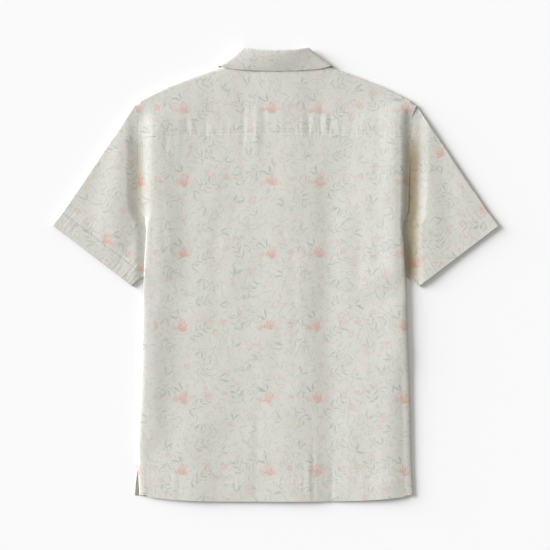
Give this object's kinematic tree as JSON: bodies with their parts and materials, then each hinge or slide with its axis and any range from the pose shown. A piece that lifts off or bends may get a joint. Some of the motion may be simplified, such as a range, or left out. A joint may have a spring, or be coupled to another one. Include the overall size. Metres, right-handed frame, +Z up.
{
  "type": "short-sleeve shirt",
  "caption": "Short-sleeve shirt with a camp collar, back yoke and side vents, laid flat and face down so that its back is up.",
  "frame": {"origin": "on the surface that the shirt lies on, under the middle of its bounding box", "axes": "+Y from the hem to the collar, +X to the right as seen from above with the back up, +Z up from the surface"},
  "size_m": [0.7696, 0.7811, 0.0188],
  "materials": {
    "printed_cloth": "soft matt plain weave, ecru with a small faded flower print",
    "buttons": "pale pearly gloss"
  },
  "bodies": {
    "root": {"back": "printed_cloth", "yoke": "printed_cloth", "front_left": "printed_cloth", "front_right": "printed_cloth", "sleeve_left": "printed_cloth", "sleeve_right": "printed_cloth", "collar": "printed_cloth", "button_1": "buttons", "button_2": "buttons", "button_3": "buttons", "button_4": "buttons", "button_5": "buttons", "button_6": "buttons"}
  },
  "joints": []
}
